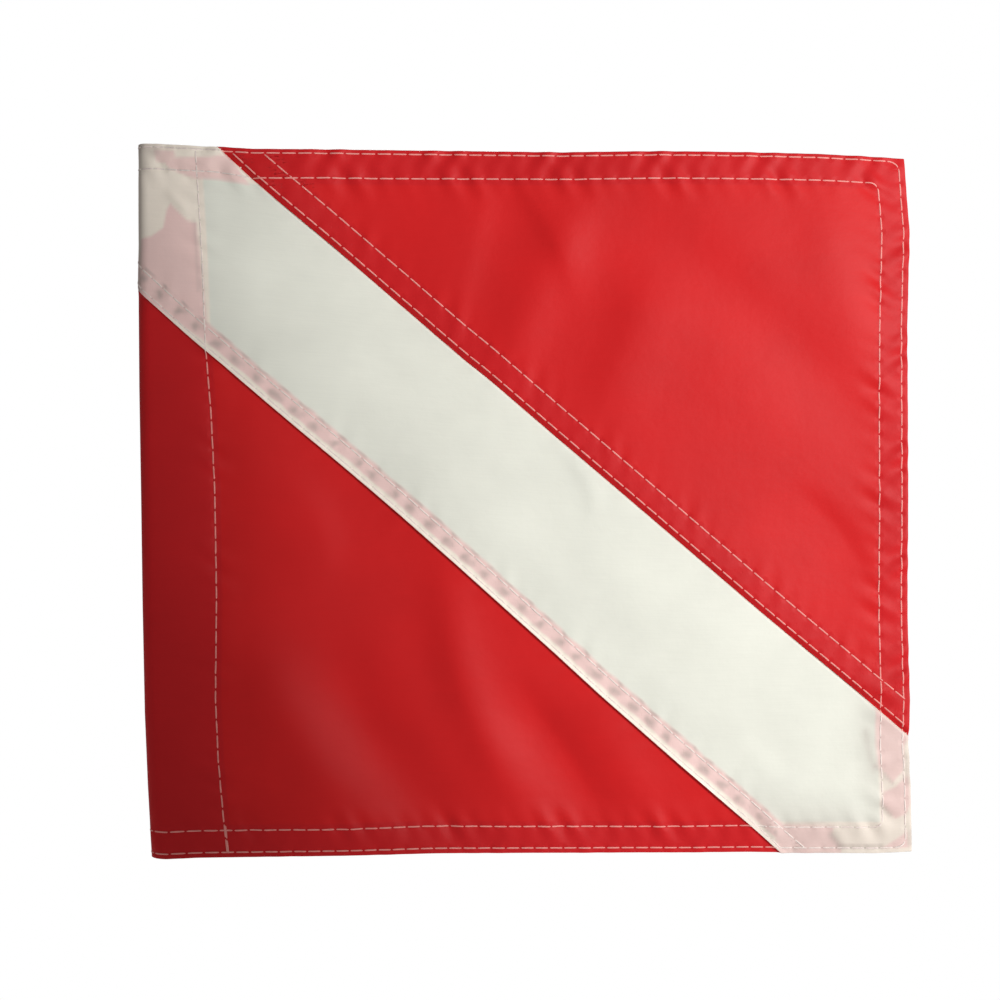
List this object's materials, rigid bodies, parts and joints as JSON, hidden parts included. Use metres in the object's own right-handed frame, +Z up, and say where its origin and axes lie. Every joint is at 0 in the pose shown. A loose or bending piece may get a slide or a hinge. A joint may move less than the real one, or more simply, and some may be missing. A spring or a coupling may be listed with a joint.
{
  "type": "diver-down flag",
  "caption": "Square-cut sewn nylon dive flag, red with a white diagonal stripe, with felled seams, hems and a pole sleeve along the hoist.",
  "frame": {"origin": "on the axis of the pole sleeve, at its lower mouth", "axes": "+Z up the pole, +X along the fly away from the pole, the front looks along -Y"},
  "size_m": [0.3312, 0.0163, 0.3106],
  "materials": {
    "red_nylon": "woven nylon, slightly glossy",
    "white_nylon": "woven nylon, slightly glossy",
    "thread": "twisted sewing thread"
  },
  "bodies": {
    "root": {"upper_red_panel": "red_nylon", "white_band": "white_nylon", "lower_red_panel": "red_nylon", "upper_seam_edge_needle_thread": "thread", "upper_seam_edge_bobbin_thread": "thread", "upper_seam_inner_needle_thread": "thread", "upper_seam_inner_bobbin_thread": "thread", "lower_seam_edge_needle_thread": "thread", "lower_seam_edge_bobbin_thread": "thread", "lower_seam_inner_needle_thread": "thread", "lower_seam_inner_bobbin_thread": "thread", "hem_outer_needle_thread": "thread", "hem_outer_bobbin_thread": "thread", "hem_inner_needle_thread": "thread", "hem_inner_bobbin_thread": "thread", "sleeve_row_needle_thread": "thread", "sleeve_row_bobbin_thread": "thread"}
  },
  "joints": []
}
